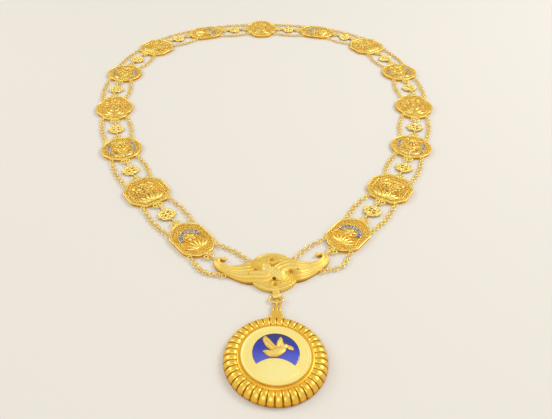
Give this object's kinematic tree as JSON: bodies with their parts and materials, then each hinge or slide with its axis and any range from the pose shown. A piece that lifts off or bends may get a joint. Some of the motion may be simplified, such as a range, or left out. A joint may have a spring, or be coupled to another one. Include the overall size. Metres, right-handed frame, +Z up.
{
  "type": "state honor medal",
  "caption": "Gilt neck collar of enamelled plaques and endless knots between fine side chains, with a winged centre piece and a petalled round medal bearing a dove.",
  "frame": {"origin": "under the middle of the collar's box, on the surface that it lies on", "axes": "+Z up from the surface, +Y from the medal towards the nape plaque, +X to the right"},
  "size_m": [0.3296, 0.5268, 0.0086],
  "materials": {
    "gilt": "polished gilt with darker gold in the hollows",
    "pale_gilt": "matt gilt, polished on its edges",
    "blue_enamel": "deep blue translucent enamel over gilt"
  },
  "bodies": {
    "root": {"medal_petals": "gilt", "medal_disc": "pale_gilt", "medal_enamel": "blue_enamel", "medal_dove": "pale_gilt", "hanger_ring": "gilt", "centre_piece": "pale_gilt", "plaque_0": "gilt", "plaque_left_1": "gilt", "plaque_left_2": "gilt", "plaque_left_3": "gilt", "plaque_left_4": "gilt", "plaque_left_5": "gilt", "plaque_left_6": "gilt", "plaque_left_7": "gilt", "plaque_right_1": "gilt", "plaque_right_2": "gilt", "plaque_right_3": "gilt", "plaque_right_4": "gilt", "plaque_right_5": "gilt", "plaque_right_6": "gilt", "plaque_right_7": "gilt", "knot_left_1": "pale_gilt", "knot_left_2": "pale_gilt", "knot_left_3": "pale_gilt", "knot_left_4": "pale_gilt", "knot_left_5": "pale_gilt", "knot_left_6": "pale_gilt", "knot_left_7": "pale_gilt", "knot_right_1": "pale_gilt", "knot_right_2": "pale_gilt", "knot_right_3": "pale_gilt", "knot_right_4": "pale_gilt", "knot_right_5": "pale_gilt", "knot_right_6": "pale_gilt", "knot_right_7": "pale_gilt", "chain_left_inner_0": "gilt", "chain_left_inner_1": "gilt", "chain_left_inner_2": "gilt", "chain_left_inner_3": "gilt", "chain_left_inner_4": "gilt", "chain_left_inner_5": "gilt", "chain_left_outer_0": "gilt", "chain_left_outer_1": "gilt", "chain_left_outer_2": "gilt", "chain_left_outer_3": "gilt", "chain_left_outer_4": "gilt", "chain_left_outer_5": "gilt", "chain_right_inner_0": "gilt", "chain_right_inner_1": "gilt", "chain_right_inner_2": "gilt", "chain_right_inner_3": "gilt", "chain_right_inner_4": "gilt", "chain_right_inner_5": "gilt", "chain_right_outer_0": "gilt", "chain_right_outer_1": "gilt", "chain_right_outer_2": "gilt", "chain_right_outer_3": "gilt", "chain_right_outer_4": "gilt", "chain_right_outer_5": "gilt"}
  },
  "joints": []
}
